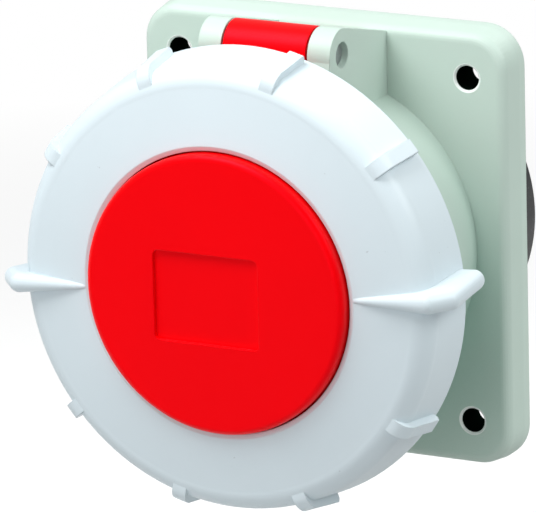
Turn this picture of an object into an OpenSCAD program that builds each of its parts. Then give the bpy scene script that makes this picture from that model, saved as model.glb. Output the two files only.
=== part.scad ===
// Panel socket with a hinged lid and a bayonet locking ring, five poles and a pilot contact.
// Everything is drawn as seen from the front: X to the right, Y up, Z out of the panel,
// with Z = 0 on the panel. stand_up() then turns the finished piece so that Z points up.

/* [Flange] */
// Width of the mounting flange
flange_w = 102; // [98:0.5:110]
// Height of the mounting flange
flange_h = 112; // [110:0.5:120]
// Thickness of the flange
flange_t = 10; // [9:0.5:14]
// Corner radius of the flange
flange_corner_r = 10; // [7:0.5:14]
// Rounding of the flange's front edge
flange_edge_r = 2.5; // [1:0.25:3]
// Wall left in front of the pockets in the flange's back
flange_wall = 3; // [2.5:0.25:4]
// Distance between the fixing holes across the flange
hole_pitch_x = 80; // [78:0.5:84]
// Distance between the fixing holes up the flange
hole_pitch_y = 88; // [86:0.5:92]
// Diameter of the fixing holes
hole_d = 6.2; // [5:0.1:7.5]
// Width of the gasket behind the flange
gasket_w = 5; // [4:0.1:5.5]
// Thickness of the gasket
gasket_t = 2; // [1.5:0.1:3]

/* [Contacts] */
// Radius of the circle that the five main contacts stand on
contact_circle_r = 18; // [17.5:0.1:18.5]
// Pin diameter of the three line contacts and of the neutral
line_bore_d = 8; // [7.5:0.1:8.4]
// Pin diameter of the earth contact
earth_bore_d = 10; // [9.5:0.1:10.4]
// Pin diameter of the pilot contact
pilot_bore_d = 6; // [5:0.1:6.2]
// Wall of a contact sleeve
sleeve_wall = 1.5; // [1.2:0.1:1.6]
// Radius of the contact insert's nose
nose_r = 30; // [29.5:0.1:30.5]
// How far the nose's face lies behind the collar's lip
nose_back = 8.7; // [7:0.1:12]

/* [Collar] */
// Width of the ring-shaped gap that the plug's shroud enters
plug_gap = 8; // [7.5:0.1:8.5]
// Wall of the collar
collar_wall = 4; // [3.5:0.1:4.5]
// Length of the collar in front of the flange
collar_len = 48.7; // [47:0.1:50]
// Thickness of the floor between the collar and the contact insert
floor_t = 6; // [5:0.5:7]
// Height of the bayonet ramps on the collar
ramp_h = 7.5; // [6.5:0.1:8]
// Thickness of a bayonet ramp where the ring starts to turn
ramp_t = 2.6; // [2.2:0.1:3]
// How much thicker the ramp is where the ring locks
ramp_rise = 1.6; // [1:0.1:1.8]
// Angle that a bayonet ramp covers
ramp_angle = 32; // [26:1:34]
// Width of the keyway at the bottom of the collar
key_w = 8; // [6:0.5:10]
// Depth of the keyway
key_depth = 2.4; // [1.5:0.1:2.6]

/* [Hinge] */
// Distance of the hinge pin in front of the panel
pin_out = 34.2; // [33.5:0.1:35]
// Height of the hinge pin above the collar
pin_rise = 11.5; // [11:0.1:12.5]
// Diameter of the hinge pin
pin_d = 6; // [5:0.1:6.4]
// Radius of the ears and of the lid's knuckle around the pin
ear_r = 6.6; // [6.2:0.1:7]
// Thickness of one ear
ear_t = 6.2; // [5:0.1:7]
// Width of the lid's knuckle
knuckle_w = 22.6; // [20:0.1:24]
// Gap between the knuckle and each ear
knuckle_gap = 0.6; // [0.3:0.05:0.8]
// Diameter of the spring's wire
spring_wire = 1.1; // [0.8:0.1:1.2]
// Number of turns of the spring
spring_turns = 9; // [5:1:11]

/* [Lid] */
// Radius of the disc that shows in the middle of the ring
disc_r = 35.2; // [34:0.1:36.5]
// How far the disc stands out of the ring
disc_proud = 2.6; // [1.5:0.1:3]
// Wall of the lid
lid_wall = 3; // [2.6:0.1:3.4]
// How far the lid's flange reaches out past the collar
lid_overhang = 8; // [7:0.1:9]
// Thickness of the lid's flange
lid_flange_t = 3.6; // [3.2:0.1:4]
// Thickness of the arm between the lid and its knuckle
arm_t = 4.6; // [3.6:0.1:5]
// Width of the rubber seal in the lid
seal_w = 4.6; // [4:0.1:5]
// Height of the rubber seal
seal_h = 2.6; // [2.2:0.1:3]
// Width of the blank label field
label_w = 28.6; // [24:0.2:32]
// Height of the blank label field
label_h = 22.7; // [18:0.1:26]
// Depth of the blank label field
label_depth = 1; // [0.5:0.1:1.5]

/* [Ring] */
// Room between the lid's flange and the ring's skirt
ring_room = 4; // [3.6:0.1:4.4]
// Wall of the ring's skirt near its front
skirt_t = 2.2; // [1.8:0.1:3]
// How much the skirt widens towards its rear edge
skirt_flare = 1.6; // [0.8:0.1:2.2]
// Depth of the ring's skirt
ring_depth = 16.2; // [15:0.1:17]
// Wall at the front of the ring
ring_wall = 2.4; // [2:0.1:3]
// How far the front of the ring falls away towards its rim
ring_fall = 1.8; // [1:0.1:2.2]
// Rounding of the ring's front edge
ring_edge_r = 5.4; // [3:0.1:6]
// Angle of the first wing above the horizontal
wing_angle = 3.5; // [0:0.5:8]
// How far a wing stands out past the ring's rear edge
wing_out = 6; // [4:0.1:8]
// Thickness of a wing
wing_t = 5.2; // [4:0.1:6]
// Angle by which a wing's rear end is turned ahead of its front
wing_slant = 1.8; // [0:0.1:3]
// How far a wing stands in front of the ring's face
wing_proud = 1.3; // [1:0.1:2.2]
// Number of grip ribs and wings around the ring
grip_count = 10; // [8:2:12]
// Width of a grip rib
rib_w = 3.8; // [3:0.1:5]
// Height of a grip rib on the side of the ring
rib_h = 1.9; // [0.8:0.1:2.2]
// How far a rib's rear end lies in front of the ring's back
rib_short = 2.6; // [0.6:0.1:4]
// How far a rib's front lies behind the ring's rim
rib_sunk = 0.4; // [0.3:0.1:1]
// Angle that a bayonet lug covers
lug_angle = 14; // [10:1:16]
// Angle that the ring turns between open and locked
turn_angle = 40; // [36:1:42]

/* [Rear] */
// How far the carrier behind the panel lies inside the collar's outer face
carrier_inset = 1.6; // [1.4:0.1:2.4]
// Depth of the carrier behind the panel
carrier_depth = 28; // [24:0.5:32]
// Depth of the terminals behind the panel
terminal_depth = 46; // [44:0.5:48]
// Thickness of the carrier's floor
carrier_floor = 10; // [8:0.5:12]
// Wall of the carrier
carrier_wall = 3; // [2.5:0.1:4]
// Diameter of the terminal screws
terminal_screw_d = 5; // [4:0.1:5.5]
// Diameter of the shank of the assembly screws
screw_shank_d = 3.6; // [3:0.1:4]
// Diameter of the head of the assembly screws
screw_head_d = 6.6; // [6:0.1:7]

/* [Hidden] */
$fn = 96;
eps = 0.01;
play = 0.3;          // gap between pieces that only come close
snug = 0.05;         // radial gap of a pin or screw in its hole

// Contact positions, clockwise from the earth at the bottom as seen from the front
pole_step = 360 / 5;
earth_at = 270;
function pole_at(i) = earth_at - (i + 1) * pole_step;
pilot_back = 8;      // the pilot contact makes last, so it stands further back
earth_first = 1.4;   // the earth contact makes first, so it stands further out

// Radii, from the contacts outwards
bore_r = nose_r + plug_gap;
collar_r = bore_r + collar_wall;
ramp_r = collar_r + ramp_h;
lid_flange_r = collar_r + lid_overhang;
ring_inner_r = lid_flange_r + ring_room;
ring_front_r = ring_inner_r + skirt_t;
ring_rear_r = ring_front_r + skirt_flare;
wing_reach = ring_rear_r + wing_out;
opening_r = disc_r + 0.4;
carrier_r = collar_r - carrier_inset;
gasket_r = flange_w / 2 - 2.5 - gasket_w;
hole_chamfer = 0.45;

// Distances from the panel, front to back
floor_back = 4;
floor_front = floor_back + floor_t;
lip_z = flange_t + collar_len;
nose_front = lip_z - nose_back;
seal_seat = 1.4;     // depth of the groove that holds the lid's seal
seal_r = bore_r + collar_wall / 2 - seal_w / 2;
lid_back = lip_z + play + seal_h - seal_seat;
lid_front = lid_back + lid_flange_t;
ring_under = lid_front + play;
ring_rim_z = ring_under + ring_wall - 0.4;
ring_face_z = ring_rim_z + ring_fall;
rib_edge_r = ring_edge_r - 1;
ring_back = ring_under + ring_wall - ring_fall - ring_depth;
disc_front = ring_face_z + disc_proud;

// Bayonet
ramp_front = lip_z - 1.7;
ramp_past = 9;       // how far a ramp runs on past the locked lug
ramp_end = [wing_angle - turn_angle - ramp_past, wing_angle + 180 - turn_angle - ramp_past];
lug_r = collar_r + 2.5;
lug_t = 3.6;
lug_front = ring_back + play + lug_t;
nib_angle = 8;
nib_r = lid_flange_r - 0.8;
NIBS_AT = [30, 150, 270];

// Hinge
pin_up = collar_r + pin_rise;
ear_in = knuckle_w / 2 + knuckle_gap;
ear_out = ear_in + ear_t;
ear_root_up = pin_up + 0.3;
ear_foot = bore_r - 2;
pin_recess = 1.3;
spring_coil_r = pin_d / 2 + 0.55 + spring_wire / 2;
spring_room_r = spring_coil_r + spring_wire / 2 + 0.4;
spring_half = knuckle_w / 2 - 4.1;
arm_top = ring_inner_r - 1.8;
arm_under = arm_top - arm_t;
leg_gap = 0.3;
leg_back = 11;
leg_front = 12;
block_top = pin_up - spring_coil_r - spring_wire / 2 - leg_gap;
block_out = pin_out - ear_r - 2.6;

// Contacts and terminals
sleeve_front = nose_front - 3.4;
shoulder_t = 4;
shoulder_over = 2;
head_over = 0.9;
insert_gap = 0.8;
slit_w = 0.9;
slit_len = 26;
bore_bottom = 8;
wire_len = 18;
ring_slot_z = 6.2;
ring_slot_w = 2.6;
ring_slot_t = 0.4;
spring_ring_t = 0.85;
tower_wall = 1.7;

// Fixings
carrier_screw_r = bore_r - 3.5;
carrier_screw_at = [45, 135, 225, 315];
carrier_screw_tip = floor_front - 1.6;
insert_screw_r = contact_circle_r + 6.6;
insert_screw_at = [18, 162, 306];
insert_screw_tip = 14;
screw_head_t = 2.4;
screw_land = 3;      // floor left under a screw head
tunnel_depth = 1.6 * carrier_floor;
seal_cord = 2.2;
seal_rebate = 1.8;
label_x = -2;
label_y = -1.2;
label_corner_r = 1.5;

HOUSING_GREY = [0.76, 0.80, 0.77];
RING_GREY = [0.84, 0.88, 0.90];
LID_RED = [0.85, 0.05, 0.06];
CARRIER_BLACK = [0.10, 0.10, 0.11];
RUBBER_BLACK = [0.14, 0.14, 0.14];
BRASS = [0.78, 0.62, 0.32];
STEEL = [0.72, 0.73, 0.74];

// --- helpers ---------------------------------------------------------------------------

module stand_up() rotate([90, 0, 0]) children();

// a profile of [radius, distance in front of the panel] points, turned about the socket's axis
module turned(from = 0, angle = 360) rotate([0, 0, from]) rotate_extrude(angle = angle) children();

// a round hole or rod along the socket's axis
module rod(r, from, to) translate([0, 0, from]) cylinder(r = r, h = to - from);

// a round hole or rod across the socket, centred on the hinge pin
module cross_rod(r, from, to) translate([from, pin_up, pin_out]) rotate([0, 90, 0]) cylinder(r = r, h = to - from);

// a side view, drawn as [distance in front of the panel, height], with a thickness from x to x + width
module side_view(x, width) translate([x + width, 0, 0]) rotate([0, -90, 0]) linear_extrude(width) children();

module at_angle(radius, angle) translate([radius * cos(angle), radius * sin(angle), 0]) children();

module rounded_square(w, h, r) {
    square([w - 2 * r, h], center = true);
    square([w, h - 2 * r], center = true);
    for (x = [-1, 1], y = [-1, 1])
        translate([x * (w / 2 - r), y * (h / 2 - r)]) circle(r);
}

// direction of the point where a line from [dx, dy] touches a circle of radius r about the origin, on its upper side
function touch_angle(dx, dy, r) = atan2(dy, dx) - acos(r / norm([dx, dy]));

// --- housing ---------------------------------------------------------------------------

module flange_plate() {
    straight = 3;
    draft = 0.6;
    linear_extrude(straight) rounded_square(flange_w, flange_h, flange_corner_r);
    hull() {
        translate([0, 0, straight - 0.5]) linear_extrude(0.5) rounded_square(flange_w, flange_h, flange_corner_r);
        for (x = [-1, 1], y = [-1, 1])
            translate([x * (flange_w / 2 - flange_corner_r), y * (flange_h / 2 - flange_corner_r),
                    flange_t - flange_edge_r])
                rotate_extrude($fn = 48)
                    translate([flange_corner_r - draft - flange_edge_r, 0])
                        intersection() {
                            circle(flange_edge_r, $fn = 24);
                            square(flange_edge_r);
                        }
    }
}

// moulded pockets in the four corners of the flange's back, round a boss at each hole
module flange_pockets() {
    rim = 3;
    boss_r = hole_d / 2 + 3.2;
    seat_r = gasket_r + gasket_w + 1.8;
    depth = flange_t - flange_wall;
    translate([0, 0, -eps]) linear_extrude(depth) difference() {
        rounded_square(flange_w - 2 * rim, flange_h - 2 * rim, flange_corner_r - rim);
        circle(seat_r);
        for (x = [-1, 1], y = [-1, 1]) translate([x * hole_pitch_x / 2, y * hole_pitch_y / 2]) circle(boss_r);
        square([30, flange_h], center = true);
        for (turn = [-1, 1]) rotate(turn * atan2(hole_pitch_y, hole_pitch_x)) square([2 * flange_h, 1.8], center = true);
    }
}

// a sector of ring whose back slopes like a screw thread, so that it pulls the lugs inwards
module bayonet_ramp(end_angle) {
    middle = end_angle + ramp_angle / 2;
    slope = atan2(ramp_rise, ramp_angle * PI / 180 * ramp_r);
    difference() {
        turned(end_angle, ramp_angle) polygon([
            [collar_r - 1, ramp_front - ramp_t - ramp_rise], [ramp_r, ramp_front - ramp_t - ramp_rise],
            [ramp_r, ramp_front - 1.2], [ramp_r - 1.2, ramp_front], [collar_r - 1, ramp_front]]);
        rotate([0, 0, middle]) translate([ramp_r, 0, ramp_front - ramp_t - ramp_rise / 2])
            rotate([slope, 0, 0]) translate([0, 0, -10]) cube([2 * ramp_r - 2 * collar_r + 4, 60, 20], center = true);
    }
}

module collar() {
    turned() polygon([[0, 1], [collar_r, 1], [collar_r, lip_z - 1], [collar_r - 1, lip_z], [0, lip_z]]);
    for (end_angle = ramp_end) bayonet_ramp(end_angle);
    // the wall stands out round the keyway
    translate([-key_w / 2 - 3, -collar_r - 2, flange_t - 1]) cube([key_w + 6, 8, ramp_front - flange_t - 1]);
}

module ear(x) {
    root = [flange_t - 1, ear_root_up];
    dx = root[0] - pin_out;
    dy = root[1] - pin_up;
    top = touch_angle(dx, dy, ear_r);
    side_view(x, ear_t) {
        translate([pin_out, pin_up]) circle(ear_r);
        polygon([
            [root[0], ear_foot], root,
            [pin_out + ear_r * cos(top), pin_up + ear_r * sin(top)],
            [pin_out, pin_up],
            [pin_out + ear_r * cos(-6), pin_up + ear_r * sin(-6)],
            [pin_out + ear_r + 3, collar_r], [pin_out + ear_r + 3, ear_foot]]);
    }
}

module hinge_ears() {
    ear(ear_in);
    ear(-ear_out);
    // block that the spring's fixed leg rests on
    side_view(-ear_in - 1, 2 * ear_in + 2) polygon([[flange_t - 1, ear_foot], [flange_t - 1, block_top],
        [block_out, block_top], [block_out + 3, collar_r - 2], [block_out + 3, ear_foot]]);
}

// a through hole with a small chamfer at its front
module fixing_hole() turned() polygon([[0, -1], [hole_d / 2, -1], [hole_d / 2, flange_t - hole_chamfer],
    [hole_d / 2 + hole_chamfer + 1, flange_t + 1], [0, flange_t + 1]]);

module housing() {
    color(HOUSING_GREY) difference() {
        union() {
            flange_plate();
            collar();
            hinge_ears();
        }
        flange_pockets();
        for (x = [-1, 1], y = [-1, 1])
            translate([x * hole_pitch_x / 2, y * hole_pitch_y / 2, 0]) fixing_hole();
        // seat of the insert behind the floor, the way through it, and the bore in front of it
        rod(bore_r, -1, floor_back);
        rod(nose_r + play, 0, floor_front + 1);
        turned() polygon([[0, floor_front], [bore_r, floor_front], [bore_r, lip_z - 0.6],
            [bore_r + 1.6, lip_z + 1], [0, lip_z + 1]]);
        turned() square_at(gasket_r, -1, gasket_r + gasket_w, gasket_t);
        // keyway
        translate([-key_w / 2, -bore_r - key_depth, floor_front]) cube([key_w, key_depth + 6, lip_z]);
        // pin hole through both ears, wider at the outer ends
        cross_rod(pin_d / 2 + snug / 2, -ear_out - 1, ear_out + 1);
        for (side = [-1, 1])
            cross_rod(pin_d / 2 + 0.25, side > 0 ? ear_out - pin_recess : -ear_out - 1,
                side > 0 ? ear_out + 1 : -ear_out + pin_recess);
        for (a = carrier_screw_at) at_angle(carrier_screw_r, a) rod(screw_shank_d / 2 + snug, 0, floor_front - 1);
    }
}

module square_at(r1, z1, r2, z2) translate([r1, z1]) square([r2 - r1, z2 - z1]);

module panel_gasket() {
    color(RUBBER_BLACK) turned() square_at(gasket_r, 0, gasket_r + gasket_w, gasket_t);
}

// --- insert, carrier and contacts --------------------------------------------------------

// each pole as [angle, radius of the circle it stands on, pin diameter, front of its sleeve]
function pole(i) = i < 4 ? [pole_at(i), contact_circle_r, line_bore_d, sleeve_front]
    : i == 4 ? [earth_at, contact_circle_r, earth_bore_d, sleeve_front + earth_first]
    : [pole_at(3) + pole_step / 2, 0, pilot_bore_d, sleeve_front - pilot_back];
function sleeve_r(p) = p[2] / 2 + sleeve_wall;
function head_r(p) = sleeve_r(p) + head_over;
function shoulder_r(p) = sleeve_r(p) + shoulder_over;
function wire_r(p) = p[2] / 2 - 0.25;

module at_pole(p) at_angle(p[1], p[0]) children();

module contact_insert() {
    color(CARRIER_BLACK) difference() {
        turned() polygon([[0, 0], [bore_r - 0.15, 0], [bore_r - 0.15, floor_back], [nose_r, floor_back],
            [nose_r, nose_front - 1.5], [nose_r - 1.5, nose_front], [0, nose_front]]);
        // each sleeve stands free in a round well, so that its fingers can spread
        for (i = [0 : 5]) at_pole(pole(i)) {
            p = pole(i);
            rod(shoulder_r(p) + 0.15, -1, shoulder_t + 0.1);
            rod(sleeve_r(p) + insert_gap, 0, nose_front + 1);
        }
        for (a = insert_screw_at) at_angle(insert_screw_r, a) rod(screw_shank_d / 2 + snug, -1, insert_screw_tip + 2);
        for (a = carrier_screw_at) at_angle(carrier_screw_r, a) rod(screw_shank_d / 2 + 0.2, -1, floor_back + 1);
    }
}

// a wall round the terminal, open on the outer side so that a screwdriver reaches the screws
module terminal_tower(p) {
    r = head_r(p) + 0.3;
    at_pole(p) rotate([0, 0, p[0]]) difference() {
        rod(r + tower_wall, -terminal_depth, -carrier_floor + 1);
        rod(r, -terminal_depth - 1, 0);
        translate([0, -screw_r(p) - 0.6, -terminal_depth - 1])
            cube([r + tower_wall + 3, 2 * screw_r(p) + 1.2, terminal_depth - carrier_depth + 5]);
    }
}

module rear_carrier() {
    color(CARRIER_BLACK) difference() {
        union() {
            turned() polygon([
                [0, -carrier_floor], [0, 0], [carrier_r, 0], [carrier_r, -carrier_depth + 0.8],
                [carrier_r - 0.8, -carrier_depth], [carrier_r - carrier_wall, -carrier_depth],
                [carrier_r - carrier_wall, -carrier_floor]]);
            for (i = [0 : 5]) terminal_tower(pole(i));
            // screw tunnels along the wall
            for (a = carrier_screw_at)
                at_angle(carrier_screw_r, a) rod(screw_head_d / 2 + 1.4, -tunnel_depth, -carrier_floor + 1);
        }
        for (i = [0 : 5]) at_pole(pole(i)) rod(head_r(pole(i)) + 0.2, -carrier_floor - 1, 1);
        for (a = carrier_screw_at) at_angle(carrier_screw_r, a) {
            rod(screw_shank_d / 2 + 0.2, -screw_land - 1, 1);
            rod(screw_head_d / 2 + 0.2, -tunnel_depth - 1, -screw_land);
        }
        for (a = insert_screw_at) at_angle(insert_screw_r, a) {
            rod(screw_shank_d / 2 + 0.2, -screw_land - 1, 1);
            rod(screw_head_d / 2 + 0.2, -tunnel_depth - 1, -screw_land);
        }
        turned() square_at(carrier_r - seal_rebate, -seal_cord - 0.2, carrier_r + 1, 1);
    }
}

module carrier_seal() {
    color(RUBBER_BLACK) turned()
        translate([carrier_r - seal_rebate + 0.05 + seal_cord / 2, -0.1 - seal_cord / 2]) circle(seal_cord / 2, $fn = 32);
}

// a turned sleeve, slit so that it grips the pin, with a shoulder and a terminal head in one piece
module contact(p) {
    r = sleeve_r(p);
    head_end = terminal_depth - 1;
    color(BRASS) at_pole(p) rotate([0, 0, p[0]]) difference() {
        turned() polygon([
            [0, -head_end], [head_r(p) - 0.4, -head_end], [head_r(p), -head_end + 0.4], [head_r(p), 0],
            [shoulder_r(p), 0], [shoulder_r(p), shoulder_t], [r, shoulder_t],
            [r, p[3] - 0.5], [r - 0.5, p[3]], [0, p[3]]]);
        rod(p[2] / 2, bore_bottom, p[3] + 1);
        translate([0, 0, bore_bottom - p[2] / 4]) cylinder(r1 = 0, r2 = p[2] / 2, h = p[2] / 4 + eps);
        rod(wire_r(p), -head_end - 1, -head_end + wire_len);
        if (p[1] > 0) {
            for (turn = [0, 90]) rotate([0, 0, turn])
                translate([-r - 1, -slit_w / 2, p[3] - slit_len]) cube([2 * r + 2, slit_w, slit_len + 1]);
            turned() square_at(r - ring_slot_t, p[3] - ring_slot_z, r + 1, p[3] - ring_slot_z + ring_slot_w);
        } else {
            translate([-r - 1, -slit_w / 2, p[3] - slit_len + 8]) cube([2 * r + 2, slit_w, slit_len]);
        }
        for (z = screw_depths(p)) translate([0, 0, z]) rotate([0, 90, 0]) cylinder(r = screw_r(p) + snug, h = head_r(p) + 1);
    }
}

// the main terminals have two screws, the pilot has one
function screw_r(p) = p[1] > 0 ? terminal_screw_d / 2 : 0.3 * terminal_screw_d;
function screw_depths(p) = let (first = -terminal_depth + terminal_screw_d + 0.5)
    p[1] > 0 ? [first, first + 1.4 * terminal_screw_d] : [first];

module spring_ring(p) {
    r = sleeve_r(p) - ring_slot_t + snug;
    color(STEEL) at_pole(p) rotate([0, 0, p[0] + 45])
        turned(8, 344) square_at(r, p[3] - ring_slot_z + 0.1, r + spring_ring_t, p[3] - ring_slot_z + ring_slot_w - 0.1);
}

// a grub screw with a slot, screwed into the head towards the wire
module grub_screws(p) {
    r = screw_r(p);
    inner = wire_r(p) - 0.2;
    length = head_r(p) + 1.6 - inner;
    for (z = screw_depths(p))
        at_pole(p) rotate([0, 0, p[0]]) translate([inner, 0, z]) rotate([0, 90, 0]) difference() {
            cylinder(r = r, h = length, $fn = 32);
            translate([-r - 1, -0.4, length - 1]) cube([2 * r + 2, 0.8, 2]);
        }
}

module terminal_screws() color(STEEL) for (i = [0 : 4]) grub_screws(pole(i));

module pilot_screw() color(STEEL) grub_screws(pole(5));

// a pan-head screw from behind, its head on the land at land_z and its tip at tip_z
module screw_from_behind(land_z, tip_z) {
    slot_w = 0.25 * screw_shank_d;
    slot_l = 0.6 * screw_head_d;
    difference() {
        union() {
            rod(screw_shank_d / 2, land_z - 1, tip_z);
            turned() polygon([[0, land_z - screw_head_t], [screw_head_d / 2 - 1, land_z - screw_head_t],
                [screw_head_d / 2, land_z - screw_head_t + 0.8], [screw_head_d / 2, land_z], [0, land_z]]);
        }
        for (turn = [0, 90]) rotate([0, 0, turn])
            translate([-slot_l / 2, -slot_w / 2, land_z - 1.5 * screw_head_t]) cube([slot_l, slot_w, screw_head_t]);
    }
}

module insert_screws() color(STEEL) for (a = insert_screw_at) at_angle(insert_screw_r, a) screw_from_behind(-screw_land, insert_screw_tip);

module carrier_screws() color(STEEL) for (a = carrier_screw_at) at_angle(carrier_screw_r, a) screw_from_behind(-screw_land, carrier_screw_tip);

// --- hinge -----------------------------------------------------------------------------

module hinge_pin() {
    half = ear_out - pin_recess;
    color(STEEL) translate([-half, pin_up, pin_out]) rotate([0, 90, 0]) rotate([0, 0, 90])
        rotate_extrude() polygon([[0, 0], [pin_d / 2 - 0.5, 0], [pin_d / 2, 0.5],
            [pin_d / 2, 2 * half - 0.5], [pin_d / 2 - 0.5, 2 * half], [0, 2 * half]]);
}

// wire centre line: a straight leg on the block, close turns round the pin, a straight leg under the arm
function spring_path() =
    let (steps = 20, total = spring_turns * steps, pitch = 2 * (spring_half - spring_wire / 2) / spring_turns,
        start = 270, turns = [for (k = [0 : total])
            let (a = start + 360 * k / steps)
            [-spring_half + spring_wire / 2 + pitch * k / steps, pin_up + spring_coil_r * sin(a), pin_out + spring_coil_r * cos(a)]])
    concat([[turns[0][0], pin_up - spring_coil_r, pin_out - leg_back]], turns,
        [[turns[total][0], pin_up - spring_coil_r, pin_out + leg_front]]);

// a ring of points round each point of the path, in the plane that halves the bend
module swept_wire(path, r, sides) {
    last = len(path) - 1;
    function along(i) = let (d = path[min(i + 1, last)] - path[max(i - 1, 0)]) d / norm(d);
    across = [1, 0, 0];
    points = [for (i = [0 : last])
        let (t = along(i), u0 = across - (across * t) * t, u = u0 / norm(u0), v = cross(t, u))
        each [for (k = [0 : sides - 1]) path[i] + r * (cos(360 * k / sides) * u + sin(360 * k / sides) * v)]];
    walls = [for (i = [0 : last - 1], k = [0 : sides - 1])
        let (n = (k + 1) % sides)
        each [[i * sides + k, (i + 1) * sides + k, i * sides + n],
              [i * sides + n, (i + 1) * sides + k, (i + 1) * sides + n]]];
    ends = [[for (k = [0 : sides - 1]) k], [for (k = [sides - 1 : -1 : 0]) last * sides + k]];
    polyhedron(points = points, faces = concat(walls, ends));
}

module lid_spring() color(STEEL) swept_wire(spring_path(), spring_wire / 2, 8);

// --- lid -------------------------------------------------------------------------------

// the widest that anything of the lid may be inside the ring
module inside_ring() {
    turned() polygon([[0, 0], [ring_inner_r - 0.6, 0], [ring_inner_r - 0.6, ring_under - ring_room - 0.6],
        [lid_flange_r, lid_front], [lid_flange_r, disc_front], [0, disc_front]]);
}

module lid_arm() {
    intersection() {
        side_view(-knuckle_w / 2, knuckle_w)
            polygon([
                [pin_out, pin_up - ear_r], [lid_back + 1, arm_under], [lid_back + 1, arm_top], [ring_back - 3, arm_top],
                [pin_out + ear_r * cos(14), pin_up + ear_r * sin(14)], [pin_out, pin_up]]);
        inside_ring();
    }
}

module lid_shell() {
    edge = 1.6;
    turned() {
        polygon([[0, lid_back], [lid_flange_r - 0.4, lid_back], [lid_flange_r, lid_back + 0.4],
            [lid_flange_r, lid_front - 0.4], [lid_flange_r - 0.4, lid_front], [disc_r, lid_front],
            [disc_r, disc_front - edge], [disc_r - edge, disc_front - edge], [disc_r - edge, disc_front], [0, disc_front]]);
        translate([disc_r - edge, disc_front - edge]) intersection() {
            circle(edge);
            square(edge);
        }
    }
}

module lid() {
    hollow_r = disc_r - lid_wall;
    hollow_z = disc_front - label_depth - lid_wall + 0.6;
    color(LID_RED) difference() {
        union() {
            difference() {
                lid_shell();
                rod(hollow_r, lid_back - 1, hollow_z);
                translate([label_x, label_y, disc_front - label_depth])
                    linear_extrude(label_depth + 1) rounded_square(label_w, label_h, label_corner_r);
            }
            // stiffening ribs in the hollow
            for (a = [0 : 60 : 300]) rotate([0, 0, a]) translate([0, -0.8, lid_back + 1.5])
                cube([hollow_r + 0.5, 1.6, hollow_z - lid_back - 1]);
            rod(5, lid_back + 1.5, hollow_z + eps);
            lid_arm();
            cross_rod(ear_r, -knuckle_w / 2, knuckle_w / 2);
        }
        cross_rod(pin_d / 2 + snug, -knuckle_w, knuckle_w);
        // room for the spring, open downwards and to the back
        cross_rod(spring_room_r, -spring_half - play, spring_half + play);
        side_view(-spring_half - play, 2 * (spring_half + play))
            polygon([[pin_out - 12, pin_up - 12], [pin_out - 12, pin_up], [pin_out, pin_up],
                [pin_out + 1, pin_up - spring_room_r], [pin_out + 1, pin_up - 12]]);
        // hole in the arm that holds the spring's other leg
        translate([spring_half - spring_wire / 2, pin_up - spring_coil_r, 0])
            rod(spring_wire / 2 + leg_gap, pin_out, pin_out + leg_front + 1);
        turned() square_at(seal_r, lid_back - 1, seal_r + seal_w, lid_back + seal_seat);
    }
}

module lid_seal() {
    color(RUBBER_BLACK) turned() polygon([
        [seal_r + 0.1, lid_back + seal_seat], [seal_r + 0.1, lid_back - 0.4], [seal_r + 0.9, lip_z + play],
        [seal_r + seal_w - 0.9, lip_z + play], [seal_r + seal_w - 0.1, lid_back - 0.4], [seal_r + seal_w - 0.1, lid_back + seal_seat]]);
}

// --- bayonet ring ------------------------------------------------------------------------

ring_corner = [ring_front_r - ring_edge_r, ring_rim_z - ring_edge_r];

// a quarter of a round edge that bulges outwards and to the front
module front_edge(centre, r) {
    translate(centre) intersection() {
        circle(r);
        square(r);
    }
}

module ring_form() {
    turned() {
        polygon([[0, ring_back], [ring_rear_r - 0.8, ring_back], [ring_rear_r, ring_back + 0.8],
            [ring_front_r, ring_corner[1]], ring_corner, [ring_corner[0], ring_rim_z],
            [opening_r + 1.2, ring_face_z], [opening_r, ring_face_z - 0.6], [0, ring_face_z - 0.6]]);
        front_edge(ring_corner, ring_edge_r);
    }
}

// a rib that rises out of the ring's rounded edge, just short of its face, and runs down its side
module grip_rib(angle) {
    back = ring_back + rib_short;
    top = ring_rim_z - rib_sunk;
    corner = [ring_front_r + rib_h - rib_edge_r, top - rib_edge_r];
    intersection() {
        turned() {
            polygon([[0, back], [ring_rear_r - 0.8 + rib_h, back], [ring_rear_r + rib_h, back + 0.8],
                [ring_front_r + rib_h, corner[1]], [corner[0], top], [ring_corner[0], top], ring_corner, [0, ring_corner[1]]]);
            front_edge(corner, rib_edge_r);
        }
        rotate([0, 0, angle]) translate([ring_inner_r - 16, -rib_w / 2, ring_back]) cube([30, rib_w, ring_depth + 10]);
    }
}

// a flat wing with round edges: thin beside the disc, thick at the rim, longest at its rear end
module wing(angle) {
    front = ring_face_z + wing_proud;
    edge = wing_t / 2;
    rotate([0, 0, angle]) hull() {
        translate([opening_r + 1.6, 0, ring_face_z - 0.5]) sphere(0.7, $fn = 12);
        translate([ring_front_r, 0, front - edge]) sphere(edge, $fn = 24);
        translate([wing_reach - 1.2 - edge, 0, ring_rim_z - 4]) sphere(edge, $fn = 24);
        rotate([0, 0, wing_slant]) {
            translate([wing_reach - edge, 0, ring_back + edge]) sphere(edge, $fn = 24);
            translate([ring_rear_r - 2, 0, ring_back + edge]) sphere(edge, $fn = 16);
        }
    }
}

module ring_lug(angle) {
    turned(angle - lug_angle / 2, lug_angle) square_at(lug_r, lug_front - lug_t, ring_inner_r + 1, lug_front);
}

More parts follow.
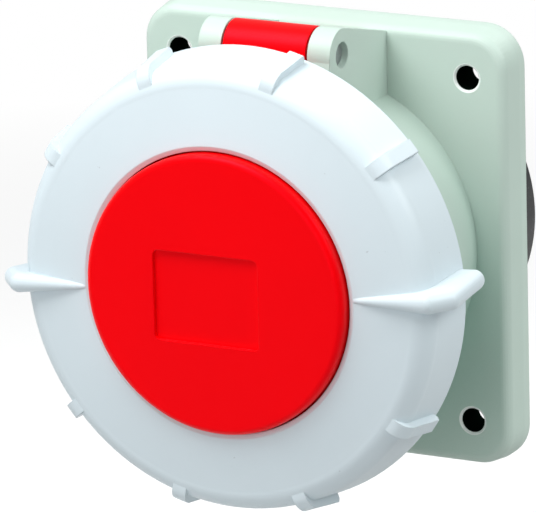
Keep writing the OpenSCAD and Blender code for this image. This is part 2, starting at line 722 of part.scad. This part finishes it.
module bayonet_ring() {
    color(RING_GREY) {
        difference() {
            union() {
                ring_form();
                for (k = [0 : grip_count - 1]) {
                    angle = wing_angle + k * 360 / grip_count;
                    if (k % (grip_count / 2) == 0) wing(angle);
                    else grip_rib(angle);
                }
            }
            turned() polygon([[0, ring_back - 1], [ring_inner_r, ring_back - 1], [ring_inner_r, ring_under - ring_room],
                [lid_flange_r + 0.8, ring_under], [0, ring_under]]);
            rod(opening_r, 0, disc_front + 20);
        }
        ring_lug(wing_angle);
        ring_lug(wing_angle + 180);
        for (a = NIBS_AT)
            turned(a - nib_angle / 2, nib_angle)
                polygon([[nib_r, lid_back - play], [nib_r, lid_back - play - 0.8],
                    [ring_inner_r + 1, lid_back - play - 3], [ring_inner_r + 1, lid_back - play]]);
    }
}

stand_up() housing();
stand_up() panel_gasket();
stand_up() carrier_seal();
stand_up() contact_insert();
stand_up() rear_carrier();
stand_up() contact(pole(0));  // line_1_contact
stand_up() contact(pole(1));  // line_2_contact
stand_up() contact(pole(2));  // line_3_contact
stand_up() contact(pole(3));  // neutral_contact
stand_up() contact(pole(4));  // earth_contact
stand_up() contact(pole(5));  // pilot_contact
stand_up() spring_ring(pole(0));  // line_1_spring_ring
stand_up() spring_ring(pole(1));  // line_2_spring_ring
stand_up() spring_ring(pole(2));  // line_3_spring_ring
stand_up() spring_ring(pole(3));  // neutral_spring_ring
stand_up() spring_ring(pole(4));  // earth_spring_ring
stand_up() terminal_screws();
stand_up() pilot_screw();
stand_up() insert_screws();
stand_up() carrier_screws();
stand_up() hinge_pin();
stand_up() lid_spring();
stand_up() lid();
stand_up() lid_seal();
stand_up() bayonet_ring();
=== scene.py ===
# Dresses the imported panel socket: moulded plastics, rubber, brass and steel, soft studio light, camera.
import bpy
import math
from mathutils import Matrix, Vector


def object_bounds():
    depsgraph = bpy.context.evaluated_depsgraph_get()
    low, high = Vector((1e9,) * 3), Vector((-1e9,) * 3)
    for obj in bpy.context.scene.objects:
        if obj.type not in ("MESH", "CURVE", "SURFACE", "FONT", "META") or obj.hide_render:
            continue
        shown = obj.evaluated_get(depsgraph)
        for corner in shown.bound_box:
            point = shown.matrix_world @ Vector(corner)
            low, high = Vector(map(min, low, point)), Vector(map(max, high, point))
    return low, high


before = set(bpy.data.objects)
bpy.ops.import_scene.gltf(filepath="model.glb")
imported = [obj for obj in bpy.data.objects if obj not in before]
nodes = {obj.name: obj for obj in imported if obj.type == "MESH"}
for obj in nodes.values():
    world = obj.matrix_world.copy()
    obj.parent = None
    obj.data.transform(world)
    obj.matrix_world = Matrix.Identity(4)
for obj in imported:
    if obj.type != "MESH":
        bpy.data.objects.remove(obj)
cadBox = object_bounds()
print("frame loaded:", len(nodes), "pieces")

white = (1.0, 1.0, 1.0, 1.0)
mixFirst, mixSecond, mixResult = 6, 7, 2  # the colour sockets of a Mix node
bevelSamples = 4


def newFinish(name):
    # an empty material with a Principled shader wired to its output
    finish = bpy.data.materials.new(name)
    finish.use_nodes = True
    tree = finish.node_tree
    tree.nodes.clear()
    output = tree.nodes.new("ShaderNodeOutputMaterial")
    shader = tree.nodes.new("ShaderNodeBsdfPrincipled")
    tree.links.new(shader.outputs["BSDF"], output.inputs["Surface"])
    return finish, tree, shader


def add(tree, kind, inputs=None, **settings):
    # one node: settings are its properties, inputs are values or sockets to link
    node = tree.nodes.new("ShaderNode" + kind)
    for key, value in settings.items():
        setattr(node, key, value)
    for key, value in (inputs or {}).items():
        if isinstance(value, bpy.types.NodeSocket):
            tree.links.new(value, node.inputs[key])
        else:
            node.inputs[key].default_value = value
    return node


def placeOn(tree):
    # where a point lies on the piece, in metres
    return add(tree, "TexCoord").outputs["Object"]


def combine(tree, operation, first, second):
    # one Math node on two values
    return add(tree, "Math", {0: first, 1: second}, operation=operation).outputs[0]


def combineVectors(tree, operation, first, second):
    return add(tree, "VectorMath", {0: first, 1: second}, operation=operation).outputs[0]


def lengthOf(tree, vector):
    return add(tree, "VectorMath", {0: vector}, operation="LENGTH").outputs["Value"]


def noise(tree, pattern, vector=None):
    # cloudy values round 0.5; pattern holds the scale, detail and roughness
    inputs = {"Vector": vector or placeOn(tree), "Scale": pattern["scale"], "Detail": pattern["detail"],
              "Roughness": pattern["roughness"]}
    return add(tree, "TexNoise", inputs).outputs["Fac"]


def remap(tree, value, low, high, toLow=0.0, toHigh=1.0):
    # low to high becomes toLow to toHigh, held at both ends
    inputs = {"Value": value, "From Min": low, "From Max": high, "To Min": toLow, "To Max": toHigh}
    return add(tree, "MapRange", inputs, clamp=True).outputs["Result"]


def between(tree, factor, first, second):
    # colour that goes from first to second with factor
    mix = add(tree, "Mix", {"Factor": factor}, data_type="RGBA")
    for socket, value in ((mix.inputs[mixFirst], first), (mix.inputs[mixSecond], second)):
        if isinstance(value, bpy.types.NodeSocket):
            tree.links.new(value, socket)
        else:
            socket.default_value = value
    return mix.outputs[mixResult]


def bump(tree, height, distance, normal=None):
    # full strength, distance in metres, on top of another normal where there is one
    inputs = {"Height": height, "Strength": 1.0, "Distance": distance}
    if normal:
        inputs["Normal"] = normal
    return add(tree, "Bump", inputs).outputs[0]


def sRgb(red, green, blue, factor=1.0):
    # a colour written as 0 to 255, turned into the linear values that a shader takes
    def linear(value):
        value = value / 255
        return value / 12.92 if value <= 0.04045 else ((value + 0.055) / 1.055) ** 2.4
    return tuple(min(1.0, linear(v) * factor) for v in (red, green, blue)) + (1.0,)


def paintedShadeInLowCorners(tree, shade):
    # painted shade: rises to 1 in the corners and gaps of the lower half, from ambient occlusion and
    # height; there the colour is mixed to a deeper green that stands in for shade
    openness = add(tree, "AmbientOcclusion", {"Distance": shade["reach"]}, samples=shade["samples"])
    enclosed = remap(tree, openness.outputs["AO"], shade["closed"], shade["open"], 1.0, 0.0)
    height = add(tree, "SeparateXYZ", {0: placeOn(tree)}).outputs["Z"]
    low = remap(tree, height, shade["to"], shade["from"], 1.0, 0.0)
    return combine(tree, "MULTIPLY", enclosed, low)


def paintedBoreLight(tree, bores):
    # walls: 1 on the walls of the four fixing holes, which get a near-black painted shadow. rims: 1 on
    # their chamfers and the edge round them, which get a pale painted highlight
    place = placeOn(tree)
    corner = add(tree, "VectorMath", {0: place}, operation="ABSOLUTE").outputs[0]
    across = combineVectors(tree, "SUBTRACT", corner, bores["at"])
    off = lengthOf(tree, combineVectors(tree, "MULTIPLY", across, (1.0, 0.0, 1.0)))
    depth = add(tree, "SeparateXYZ", {0: place}).outputs["Y"]
    depthEnd = bores["from"] + bores["depthBlend"]
    behind = remap(tree, depth, bores["from"], depthEnd)
    inFront = remap(tree, depth, bores["from"], depthEnd, 1.0, 0.0)
    inside = remap(tree, off, bores["radius"], bores["radius"] + bores["edgeBlend"], 1.0, 0.0)
    onRim = remap(tree, off, bores["rim"], bores["rim"] + bores["edgeBlend"], 1.0, 0.0)
    walls = combine(tree, "MULTIPLY", inside, behind)
    rims = combine(tree, "MULTIPLY", onRim, inFront)
    return walls, rims


def mouldedPlastic(name, look):
    # a slow cloud of colour, the eroded grain of the mould, faint flow marks and softened edges; where the
    # look asks, painted shade in the low corners and painted shadow and highlight at the fixing holes
    finish, tree, shader = newFinish(name)
    cloud = noise(tree, look["cloud"])
    stretched = add(tree, "Mapping", {"Vector": placeOn(tree), "Scale": look["flowStretch"]})
    flow = noise(tree, look["flow"], stretched.outputs["Vector"])
    grain = noise(tree, look["grain"])
    speckTo = look["speckFrom"] + look["speckBlend"]
    specks = remap(tree, noise(tree, look["specks"]), look["speckFrom"], speckTo)
    deep = sRgb(*look["colour"], 1.0 - look["colourSpread"])
    pale = sRgb(*look["colour"], 1.0 + look["colourSpread"])
    colour = between(tree, remap(tree, cloud, *look["cloudRange"]), deep, pale)
    colour = between(tree, specks, colour, sRgb(*look["colour"], look["speckShade"]))
    # painted shade: the low corners and gaps are mixed towards a deeper green that stands in for shade
    if look["shade"]:
        colour = between(tree, paintedShadeInLowCorners(tree, look["shade"]), colour, sRgb(*look["shade"]["colour"]))
    shader.inputs["Specular IOR Level"].default_value = look["specular"]
    if look["bores"]:
        walls, rims = paintedBoreLight(tree, look["bores"])
        # a pale painted highlight on the chamfer rims, then a near-black painted shadow on the hole walls
        colour = between(tree, rims, colour, sRgb(*look["bores"]["rimPaintedHighlight"]))
        colour = between(tree, walls, colour, sRgb(*look["bores"]["colour"]))
        # the walls of the holes reflect nothing; an exported model loses this link
        dulled = remap(tree, walls, 0.0, 1.0, look["specular"], 0.0)
        tree.links.new(dulled, shader.inputs["Specular IOR Level"])
    tree.links.new(colour, shader.inputs["Base Color"])
    smoothest = look["roughness"] - look["roughnessSpread"]
    roughest = look["roughness"] + look["roughnessSpread"]
    roughness = remap(tree, combine(tree, "ADD", flow, grain), *look["sheenRange"], smoothest, roughest)
    tree.links.new(roughness, shader.inputs["Roughness"])
    edges = add(tree, "Bevel", {"Radius": look["edge"]}, samples=bevelSamples).outputs[0]
    swell = bump(tree, cloud, look["swellDepth"], edges)
    tree.links.new(bump(tree, grain, look["grainDepth"], swell), shader.inputs["Normal"])
    shader.inputs["Specular Tint"].default_value = look["reflection"]
    return finish


# lengths are in metres, colours 0 to 255; each range is where a pattern starts and ends
plasticBase = {
    "cloud": {"scale": 24.0, "detail": 4.0, "roughness": 0.55}, "cloudRange": (0.3, 0.7),
    "colourSpread": 0.02,
    "flow": {"scale": 30.0, "detail": 3.0, "roughness": 0.6}, "flowStretch": (1.0, 1.0, 5.0),
    "grain": {"scale": 2600.0, "detail": 2.0, "roughness": 0.6}, "grainDepth": 0.000012,
    "swellDepth": 0.00005,
    "specks": {"scale": 900.0, "detail": 1.0, "roughness": 0.4}, "speckFrom": 0.80, "speckBlend": 0.05,
    "speckShade": 0.8, "edge": 0.0004, "roughness": 0.42, "roughnessSpread": 0.06, "sheenRange": (0.7, 1.3),
    "specular": 0.4, "reflection": white, "shade": None, "bores": None,
}
# painted shade: the deeper green that the low corners and gaps are mixed towards, in place of real shade
paintedLowShade = {"colour": (132, 186, 168), "reach": 0.05, "samples": 8, "closed": 0.2, "open": 0.95,
            "from": 0.030, "to": -0.040}
# painted light at the four fixing holes: a near-black painted shadow on their walls and a pale painted
# highlight on their chamfer rims
fixingHolesPaintedLight = {"at": (0.040, 0.0, 0.044), "radius": 0.0033, "rim": 0.0037, "edgeBlend": 0.0001,
               "from": -0.0096, "depthBlend": 0.0002, "colour": (5, 16, 10), "rimPaintedHighlight": (238, 246, 242)}
housingLook = {**plasticBase, "colour": (194, 213, 203), "roughness": 0.45, "grainDepth": 0.000016,
               "shade": paintedLowShade, "bores": fixingHolesPaintedLight}
ringLook = {**plasticBase, "colour": (214, 227, 233), "roughness": 0.40}
lidLook = {**plasticBase, "colour": (250, 0, 3), "roughness": 0.40, "specular": 0.30, "speckFrom": 0.9,
           "reflection": (1.0, 0.1, 0.26, 1.0)}
insulatorLook = {**plasticBase, "colour": (30, 31, 33), "roughness": 0.5, "colourSpread": 0.15,
                 "speckFrom": 0.68, "speckShade": 3.0, "grainDepth": 0.00002}

housingPlastic = mouldedPlastic("housing_plastic", housingLook)
ringPlastic = mouldedPlastic("ring_plastic", ringLook)
lidPlastic = mouldedPlastic("lid_plastic", lidLook)
insulatorPlastic = mouldedPlastic("insulator_plastic", insulatorLook)


rubberLook = {
    "colour": (38, 38, 40), "dust": (78, 78, 76), "roughness": 0.72, "smoother": 0.08, "rougher": 0.1,
    "bloom": {"scale": 60.0, "detail": 5.0, "roughness": 0.65}, "bloomRange": (0.45, 0.8), "bloomMost": 0.5,
    "grain": {"scale": 1500.0, "detail": 3.0, "roughness": 0.6}, "grainRange": (0.3, 0.7),
    "grainDepth": 0.00003,
}


def sealRubber(look):
    # matt black with a faint grey bloom and a fine skin
    finish, tree, shader = newFinish("seal_rubber")
    bloom = remap(tree, noise(tree, look["bloom"]), *look["bloomRange"], 0.0, look["bloomMost"])
    colour = between(tree, bloom, sRgb(*look["colour"]), sRgb(*look["dust"]))
    tree.links.new(colour, shader.inputs["Base Color"])
    grain = noise(tree, look["grain"])
    smoothest = look["roughness"] - look["smoother"]
    roughest = look["roughness"] + look["rougher"]
    roughness = remap(tree, grain, *look["grainRange"], smoothest, roughest)
    tree.links.new(roughness, shader.inputs["Roughness"])
    tree.links.new(bump(tree, grain, look["grainDepth"]), shader.inputs["Normal"])
    return finish


rubber = sealRubber(rubberLook)


def turnedMetal(name, look):
    # tool marks across the turning axis, a cloud of tarnish and fine wear
    finish, tree, shader = newFinish(name)
    marks = add(tree, "TexWave", {"Vector": placeOn(tree), "Scale": look["markScale"],
                                  "Distortion": look["markWander"], "Detail": look["markDetail"],
                                  "Detail Scale": look["markDetailScale"]},
                wave_type="BANDS", bands_direction=look["axis"]).outputs["Fac"]
    tarnish = noise(tree, {**look["tarnishCloud"], "scale": look["tarnishScale"]})
    colour = between(tree, remap(tree, tarnish, *look["tarnishRange"]), sRgb(*look["colour"]),
                     sRgb(*look["tarnish"]))
    tree.links.new(colour, shader.inputs["Base Color"])
    dull = combine(tree, "ADD", tarnish, noise(tree, look["wear"]))
    smoothest = look["roughness"] - look["smoother"]
    roughest = look["roughness"] + look["rougher"]
    roughness = remap(tree, dull, *look["dullRange"], smoothest, roughest)
    tree.links.new(roughness, shader.inputs["Roughness"])
    edges = add(tree, "Bevel", {"Radius": look["edge"]}, samples=bevelSamples).outputs[0]
    tree.links.new(bump(tree, marks, look["markDepth"], edges), shader.inputs["Normal"])
    shader.inputs["Metallic"].default_value = 1.0
    return finish


metalBase = {
    "markWander": 0.6, "markDetail": 2.0, "markDetailScale": 1.5, "edge": 0.00015,
    "tarnishCloud": {"detail": 5.0, "roughness": 0.6}, "tarnishRange": (0.35, 0.7),
    "wear": {"scale": 900.0, "detail": 3.0, "roughness": 0.6}, "dullRange": (0.7, 1.3),
    "smoother": 0.08, "rougher": 0.12,
}
brassLook = {**metalBase, "colour": (226, 196, 128), "tarnish": (196, 158, 92), "roughness": 0.30,
             "axis": "Y",
             "markScale": 900.0, "markDepth": 0.000004, "tarnishScale": 120.0}
pinLook = {**metalBase, "colour": (196, 198, 200), "tarnish": (160, 163, 166), "roughness": 0.34,
           "axis": "X",
           "markScale": 1100.0, "markDepth": 0.000004, "tarnishScale": 150.0}
screwLook = {**metalBase, "colour": (204, 203, 192), "tarnish": (172, 172, 168), "roughness": 0.36,
             "axis": "Y",
             "markScale": 1400.0, "markDepth": 0.000003, "tarnishScale": 220.0}
springLook = {**metalBase, "colour": (150, 152, 156), "tarnish": (112, 114, 118), "roughness": 0.32,
              "axis": "X",
              "markScale": 500.0, "markDepth": 0.000002, "tarnishScale": 260.0}

brass = turnedMetal("contact_brass", brassLook)
pinSteel = turnedMetal("pin_steel", pinLook)
screwSteel = turnedMetal("screw_steel", screwLook)
springSteel = turnedMetal("spring_steel", springLook)
print("finishes made:", len(bpy.data.materials))

finishOf = {
    "housing": housingPlastic, "bayonet_ring": ringPlastic, "lid": lidPlastic,
    "contact_insert": insulatorPlastic, "rear_carrier": insulatorPlastic,
    "panel_gasket": rubber, "carrier_seal": rubber, "lid_seal": rubber,
    "hinge_pin": pinSteel, "lid_spring": springSteel,
    "terminal_screws": screwSteel, "pilot_screw": screwSteel,
    "insert_screws": screwSteel, "carrier_screws": screwSteel, "pilot_contact": brass,
}
for pole in ("line_1", "line_2", "line_3", "neutral", "earth"):
    finishOf[pole + "_contact"] = brass
    finishOf[pole + "_spring_ring"] = springSteel
for name, piece in nodes.items():
    piece.data.materials.clear()
    piece.data.materials.append(finishOf[name])
print("pieces dressed:", ", ".join(sorted(nodes)))

# metres, and 1 is white; the floor turns from lit white to even white between whiteFrom and whiteAt
studio = {"floorDrop": 0.06, "floorSize": 6.0, "floorSeen": 1.0, "floorBounce": 0.42, "floorRoughness": 0.9,
          "floorSpecular": 0.1, "whiteFrom": 0.30, "whiteAt": 0.60, "skyLight": 0.42, "skySeen": 1.0}
# azimuth goes from the socket's front to the right as seen from the front; power is in watts
lamps = {
    "key": {"azimuth": -30.0, "elevation": 60.0, "distance": 0.50, "side": 0.30, "power": 2.3,
            "colour": (1.0, 1.0, 1.0)},
    "front": {"azimuth": -5.0, "elevation": 15.0, "distance": 1.6, "side": 0.9, "power": 4.5,
              "colour": (0.96, 0.99, 1.0)},
    "side": {"azimuth": 96.0, "elevation": 38.0, "distance": 1.3, "side": 0.6, "power": 7.0,
             "colour": (0.97, 1.0, 0.99)},
    "rim": {"azimuth": 160.0, "elevation": 35.0, "distance": 1.4, "side": 0.6, "power": 3.0,
            "colour": (1.0, 1.0, 1.0)},
}
view = {"azimuth": 27.84, "elevation": 15.80, "roll": -1.52, "distance": 1.587,
        "target": (-0.0075, -0.0270, -0.0020), "lens": 428.8, "sensor": 36.0, "reach": 20.0}


def direction(azimuth, elevation):
    # unit vector from the object towards a lamp or the camera, 0 degrees being straight in front
    turn, rise = math.radians(azimuth), math.radians(elevation)
    return Vector((math.sin(turn) * math.cos(rise), -math.cos(turn) * math.cos(rise), math.sin(rise)))


def grey(level):
    return (level, level, level, 1.0)


def makeFloor(settings):
    # pale to the camera and in reflections, darker to the light that bounces; open from below
    half = settings["floorSize"] / 2
    height = cadBox[0][2] - settings["floorDrop"]
    corners = [(-half, -half, height), (half, -half, height), (half, half, height), (-half, half, height)]
    mesh = bpy.data.meshes.new("floor")
    mesh.from_pydata(corners, [], [(0, 1, 2, 3)])
    floor = bpy.data.objects.new("floor", mesh)
    bpy.context.scene.collection.objects.link(floor)
    finish, tree, shader = newFinish("studio_floor")
    shader.inputs["Roughness"].default_value = settings["floorRoughness"]
    shader.inputs["Specular IOR Level"].default_value = settings["floorSpecular"]
    path = add(tree, "LightPath").outputs
    seen = combine(tree, "MAXIMUM", path["Is Camera Ray"], path["Is Glossy Ray"])
    seen = combine(tree, "MAXIMUM", seen, path["Is Transmission Ray"])
    colour = between(tree, seen, grey(settings["floorBounce"]), grey(settings["floorSeen"]))
    tree.links.new(colour, shader.inputs["Base Color"])
    # away from the object it turns as white as the sky, where the camera or a reflection sees it
    level = combineVectors(tree, "MULTIPLY", placeOn(tree), (1.0, 1.0, 0.0))
    away = remap(tree, lengthOf(tree, level), settings["whiteFrom"], settings["whiteAt"])
    backdrop = add(tree, "Emission", {"Color": white, "Strength": 1.0})
    shown = add(tree, "MixShader", {0: combine(tree, "MULTIPLY", away, seen), 1: shader.outputs[0],
                                    2: backdrop.outputs[0]})
    clear = add(tree, "BsdfTransparent")
    below = add(tree, "NewGeometry").outputs["Backfacing"]
    both = add(tree, "MixShader", {0: below, 1: shown.outputs[0], 2: clear.outputs[0]})
    tree.links.new(both.outputs[0], tree.nodes["Material Output"].inputs["Surface"])
    mesh.materials.append(finish)


def makeSky(settings):
    # even light all round, white where the camera sees it; reflections see the even light
    world = bpy.data.worlds.new("studio")
    bpy.context.scene.world = world
    world.use_nodes = True
    tree = world.node_tree
    tree.nodes.clear()
    path = add(tree, "LightPath").outputs
    strength = remap(tree, path["Is Camera Ray"], 0.0, 1.0, settings["skyLight"], settings["skySeen"])
    sky = add(tree, "Background", {"Color": white, "Strength": strength})
    output = add(tree, "OutputWorld")
    tree.links.new(sky.outputs[0], output.inputs["Surface"])


def makeLamp(name, settings):
    # a square lamp that looks at the camera's target
    data = bpy.data.lights.new(name, "AREA")
    data.shape = "SQUARE"
    data.size = settings["side"]
    data.energy = settings["power"]
    data.color = settings["colour"]
    lamp = bpy.data.objects.new(name, data)
    bpy.context.scene.collection.objects.link(lamp)
    away = direction(settings["azimuth"], settings["elevation"])
    lamp.location = Vector(view["target"]) + away * settings["distance"]
    lamp.rotation_euler = away.to_track_quat("Z", "Y").to_euler()


def makeCamera(settings):
    back = direction(settings["azimuth"], settings["elevation"])
    turn, roll = math.radians(settings["azimuth"]), math.radians(settings["roll"])
    level = Vector((math.cos(turn), math.sin(turn), 0.0))
    above = back.cross(level)
    right = level * math.cos(roll) + above * math.sin(roll)
    up = above * math.cos(roll) - level * math.sin(roll)
    data = bpy.data.cameras.new("camera")
    data.lens = settings["lens"]
    data.sensor_width = settings["sensor"]
    data.clip_end = settings["reach"]
    camera = bpy.data.objects.new("camera", data)
    bpy.context.scene.collection.objects.link(camera)
    camera.matrix_world = Matrix.Translation(Vector(settings["target"]) + back * settings["distance"]) @ \
        Matrix((right, up, back)).transposed().to_4x4()
    bpy.context.scene.camera = camera


makeFloor(studio)
makeSky(studio)
for name, settings in lamps.items():
    makeLamp(name, settings)
makeCamera(view)
bpy.context.scene.view_settings.view_transform = "Standard"
print("studio ready")
